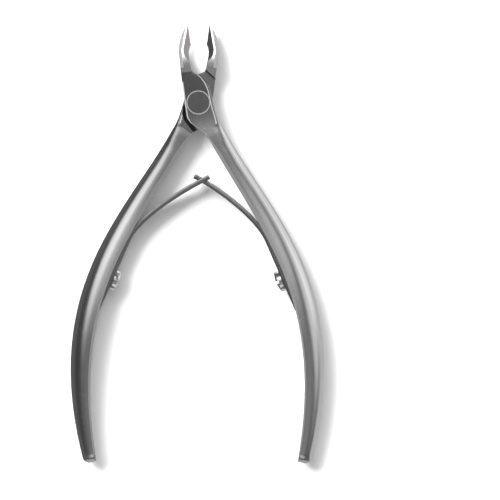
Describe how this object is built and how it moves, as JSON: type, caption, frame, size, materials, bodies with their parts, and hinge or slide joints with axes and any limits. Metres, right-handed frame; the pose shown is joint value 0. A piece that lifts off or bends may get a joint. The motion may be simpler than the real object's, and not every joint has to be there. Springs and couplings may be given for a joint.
{
  "type": "cuticle nipper",
  "caption": "Slim cuticle nipper with crossed half-lap levers, bowed handles, pointed side-cutting blades and interlocking leaf springs.",
  "frame": {"origin": "pivot axis, on the back face of the joint", "axes": "+Y towards the blade tips, +Z towards the side with the round pivot head, +X to the right seen from that side"},
  "size_m": [0.0714, 0.124, 0.0112],
  "materials": {
    "lever_steel": "satin brushed",
    "pivot_steel": "satin brushed",
    "spring_steel": "satin brushed",
    "screw_steel": "polished"
  },
  "bodies": {
    "back_lever": {"back_lever": "lever_steel", "pivot_barrel": "pivot_steel", "pivot_screw": "pivot_steel", "left_spring_root": "spring_steel", "left_spring_screw": "screw_steel"},
    "front_lever": {"front_lever": "lever_steel", "right_spring_root": "spring_steel", "right_spring_screw": "screw_steel"},
    "left_spring_arm": {"left_spring_arm": "spring_steel"},
    "right_spring_arm": {"right_spring_arm": "spring_steel"}
  },
  "joints": [
    {"name": "pivot", "type": "hinge", "parent": "back_lever", "child": "front_lever", "pos_m": [0, 0, 0.0035], "axis": [0, 0, -1], "range_deg": [0, 15.4], "stiffness_Nm_per_rad": 1.2, "springref_deg": -5.73},
    {"name": "left_leaf_flex", "type": "hinge", "parent": "back_lever", "child": "left_spring_arm", "pos_m": [-0.01504, -0.03293, 0.0035], "axis": [0, 0, 1], "range_deg": [0, 9.9]},
    {"name": "right_leaf_flex", "type": "hinge", "parent": "front_lever", "child": "right_spring_arm", "pos_m": [0.01462, -0.03208, 0.0035], "axis": [0, 0, -1], "range_deg": [0, 14.8]}
  ],
  "couplings": [
    {"joint": "left_leaf_flex", "follows": "pivot", "ratio": 0.64},
    {"joint": "right_leaf_flex", "follows": "pivot", "ratio": 0.96}
  ]
}
